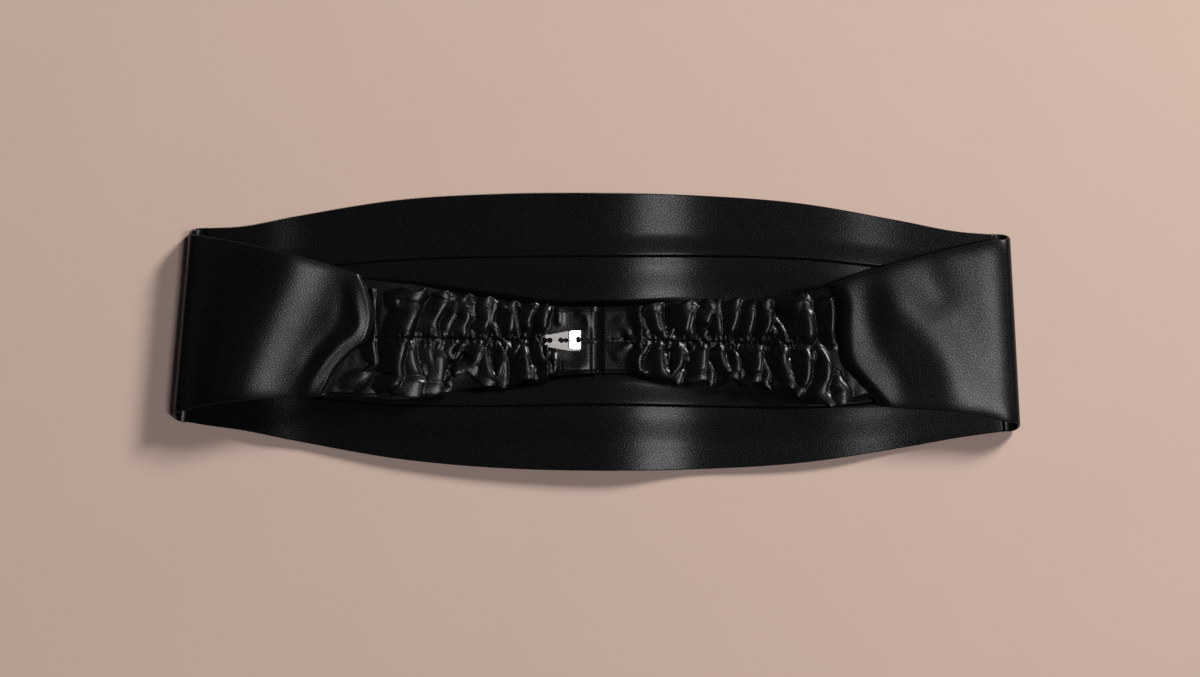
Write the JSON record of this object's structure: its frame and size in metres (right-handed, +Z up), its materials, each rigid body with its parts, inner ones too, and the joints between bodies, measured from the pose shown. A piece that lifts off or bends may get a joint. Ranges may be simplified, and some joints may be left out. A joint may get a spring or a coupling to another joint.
{
  "type": "cummerbund",
  "caption": "Black satin cummerbund fastened into a loop and laid flat, with a pleated front, folded side wings, a gathered back strap and a metal hook clip.",
  "frame": {"origin": "middle of the loop's outline on the surface that it lies on", "axes": "+X along the loop, +Y to the edge that is worn upwards, +Z up from the surface"},
  "size_m": [0.4126, 0.1345, 0.0169],
  "materials": {
    "satin": "black satin with a faint tone-on-tone ring figure and a soft sheen",
    "nickel": "nickel-plated pressed sheet, lightly polished, brighter on the folded lip"
  },
  "bodies": {
    "root": {"front_backing": "satin", "pleat_upper": "satin", "pleat_middle": "satin", "pleat_lower": "satin", "wing_left": "satin", "wing_right": "satin", "gathers_left": "satin", "gathers_right": "satin", "strap_end_left": "satin", "strap_end_right": "satin", "hook_clip": "nickel"}
  },
  "joints": []
}
